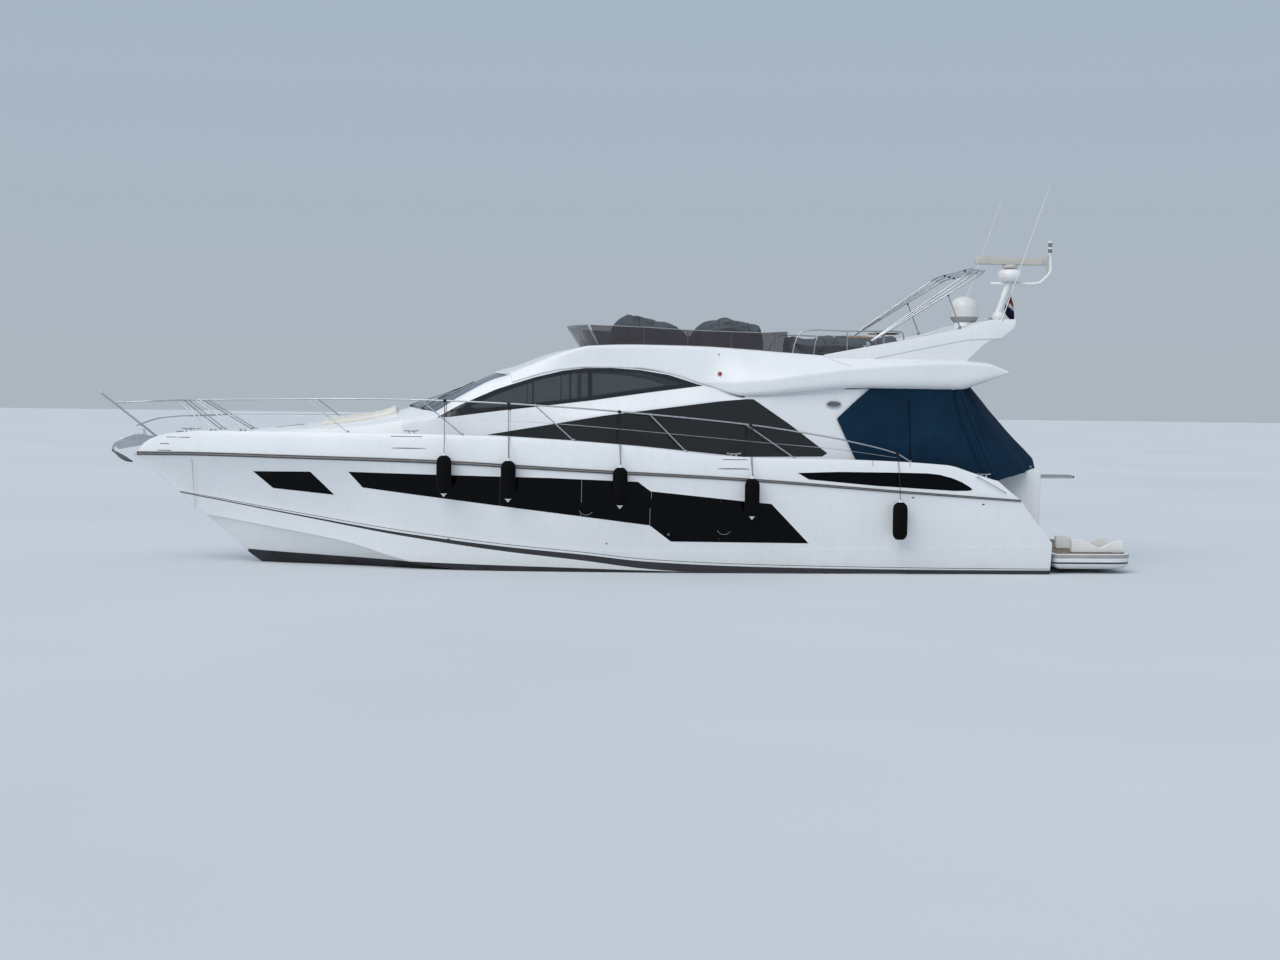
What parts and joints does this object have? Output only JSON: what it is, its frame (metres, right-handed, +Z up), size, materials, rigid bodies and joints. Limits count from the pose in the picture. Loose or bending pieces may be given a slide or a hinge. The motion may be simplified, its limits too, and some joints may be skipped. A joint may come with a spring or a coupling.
{
  "type": "motor_yacht",
  "caption": "White flybridge motor yacht, 21.8 m, with hull and deckhouse glazing, folded bimini, radar mast, cockpit canvas, fenders, rails, hi-lo platform and twin-screw gear",
  "frame": {"origin": "at the waterline, on the centreline, amidships", "axes": "+X points to the stern, +Y to starboard, +Z up"},
  "size_m": [21.7934, 5.9528, 9.5719],
  "materials": {
    "gelcoat": "white polyester gelcoat, polished, with a black boot stripe",
    "black_glass": "near-black glazing flush in the topside",
    "tinted_glass": "grey-green tinted glazing with a black border",
    "smoked_glass": "smoked acrylic and dark glass",
    "cushion": "off-white marine vinyl, piped and sewn in channels",
    "cover_grey": "blue-grey woven cover cloth",
    "canvas_navy": "navy acrylic canvas with sewn seams and zips",
    "stainless": "polished stainless steel",
    "bronze": "manganese bronze, cast and machined",
    "white_paint": "white two-pack paint",
    "white_plastic": "moulded white shell with a grey lower band",
    "teak": "teak slats with black seams"
  },
  "bodies": {
    "yacht": {"hull": "gelcoat", "hull_window_port": "black_glass", "hull_window_starboard": "black_glass", "foredeck_coachroof": "gelcoat", "foredeck_sunpad": "cushion", "deckhouse": "gelcoat", "windscreen": "tinted_glass", "upper_side_glass_port": "tinted_glass", "upper_side_glass_starboard": "tinted_glass", "lower_side_glass_port": "black_glass", "lower_side_glass_starboard": "black_glass", "flybridge": "gelcoat", "radar_arch": "gelcoat", "wind_deflector": "smoked_glass", "helm_console_cover": "cover_grey", "helm_seat_cover": "cover_grey", "sofa_cover": "cover_grey", "flybridge_rail_port": "stainless", "flybridge_rail_starboard": "stainless", "cockpit_cover": "canvas_navy", "saloon_bulkhead": "gelcoat", "guard_rail_port": "stainless", "guard_rail_starboard": "stainless", "jackstaff": "stainless", "bow_roller": "stainless", "anchor": "stainless", "windlass": "stainless", "radar_mast": "white_paint", "radome": "white_plastic", "bimini_foot_port": "stainless", "bimini_foot_starboard": "stainless", "passerelle_case": "stainless", "shaft_bracket_port": "bronze", "shaft_bracket_starboard": "bronze"},
    "propeller_port": {"propeller_port": "bronze"},
    "propeller_starboard": {"propeller_starboard": "bronze"},
    "rudder_port": {"rudder_port": "bronze"},
    "rudder_starboard": {"rudder_starboard": "bronze"},
    "trim_tab_port": {"trim_tab_port": "stainless"},
    "trim_tab_starboard": {"trim_tab_starboard": "stainless"},
    "lift_arms": {"platform_lift_arms": "stainless"},
    "swim_platform": {"swim_platform": "gelcoat"},
    "garage_door": {"garage_door": "gelcoat"},
    "saloon_door": {"saloon_door": "smoked_glass"},
    "foredeck_hatch": {"foredeck_hatch": "smoked_glass"},
    "passerelle": {"passerelle": "teak"},
    "radar_scanner": {"radar_scanner": "white_paint"},
    "bimini_bow_outer": {"bimini_bow_outer": "stainless"},
    "bimini_bow_middle": {"bimini_bow_middle": "stainless"},
    "bimini_bow_inner": {"bimini_bow_inner": "stainless"},
    "bimini_strut_port": {"bimini_strut_port": "stainless"},
    "bimini_strut_starboard": {"bimini_strut_starboard": "stainless"}
  },
  "joints": [
    {"name": "propeller_port_turn", "type": "hinge", "parent": "yacht", "child": "propeller_port", "pos_m": [7.3, -1.1, -0.96], "axis": [0.9889, 0, -0.1483], "continuous": true},
    {"name": "propeller_starboard_turn", "type": "hinge", "parent": "yacht", "child": "propeller_starboard", "pos_m": [7.3, 1.1, -0.96], "axis": [0.9889, 0, -0.1483], "continuous": true},
    {"name": "rudder_port_steer", "type": "hinge", "parent": "yacht", "child": "rudder_port", "pos_m": [8.02, -1.1, -0.47], "axis": [0, 0, 1], "range_deg": [-35, 35]},
    {"name": "rudder_starboard_steer", "type": "hinge", "parent": "yacht", "child": "rudder_starboard", "pos_m": [8.02, 1.1, -0.47], "axis": [0, 0, 1], "range_deg": [-35, 35]},
    {"name": "trim_tab_port_tilt", "type": "hinge", "parent": "yacht", "child": "trim_tab_port", "pos_m": [8.276, -1.56, -0.2384], "axis": [0, 0.9565, -0.2916], "range_deg": [0, 15]},
    {"name": "trim_tab_starboard_tilt", "type": "hinge", "parent": "yacht", "child": "trim_tab_starboard", "pos_m": [8.276, 1.56, -0.2384], "axis": [0, 0.9565, 0.2916], "range_deg": [0, 15]},
    {"name": "platform_lift", "type": "hinge", "parent": "yacht", "child": "lift_arms", "pos_m": [8.64, 0, -0.33], "axis": [0, 1, 0], "range_deg": [0, 30]},
    {"name": "platform_level", "type": "hinge", "parent": "lift_arms", "child": "swim_platform", "pos_m": [9.56, 0, 0.03], "axis": [0, 1, 0], "range_deg": [-30, 0]},
    {"name": "garage_door_open", "type": "hinge", "parent": "yacht", "child": "garage_door", "pos_m": [8.6776, 0, 1.436], "axis": [0, -1, 0], "range_deg": [0, 85]},
    {"name": "saloon_door_slide", "type": "slide", "parent": "yacht", "child": "saloon_door", "axis": [0, 1, 0], "range_m": [0, 1]},
    {"name": "foredeck_hatch_open", "type": "hinge", "parent": "yacht", "child": "foredeck_hatch", "pos_m": [-7.552, 0, 2.873], "axis": [0, -1, 0], "range_deg": [0, 80]},
    {"name": "passerelle_slide", "type": "slide", "parent": "yacht", "child": "passerelle", "axis": [1, 0, 0], "range_m": [-1, 0]},
    {"name": "radar_scanner_turn", "type": "hinge", "parent": "yacht", "child": "radar_scanner", "pos_m": [8.27, 0, 6.6], "axis": [0, 0, 1], "continuous": true},
    {"name": "bimini_bow_outer_fold", "type": "hinge", "parent": "yacht", "child": "bimini_bow_outer", "pos_m": [4.75, 0, 4.775], "axis": [0, -1, 0], "range_deg": [0, 116]},
    {"name": "bimini_bow_middle_fold", "type": "hinge", "parent": "yacht", "child": "bimini_bow_middle", "pos_m": [4.75, 0, 4.775], "axis": [0, -1, 0], "range_deg": [0, 76]},
    {"name": "bimini_bow_inner_fold", "type": "hinge", "parent": "yacht", "child": "bimini_bow_inner", "pos_m": [4.75, 0, 4.775], "axis": [0, -1, 0], "range_deg": [0, 36]},
    {"name": "bimini_strut_port_fold", "type": "hinge", "parent": "yacht", "child": "bimini_strut_port", "pos_m": [6.7, -1.85, 5.14], "axis": [0, 1, 0], "range_deg": [0, 80]},
    {"name": "bimini_strut_starboard_fold", "type": "hinge", "parent": "yacht", "child": "bimini_strut_starboard", "pos_m": [6.7, 1.85, 5.14], "axis": [0, 1, 0], "range_deg": [0, 80]}
  ],
  "couplings": [
    {"joint": "rudder_starboard_steer", "follows": "rudder_port_steer", "ratio": 1},
    {"joint": "platform_level", "follows": "platform_lift", "ratio": -1}
  ]
}
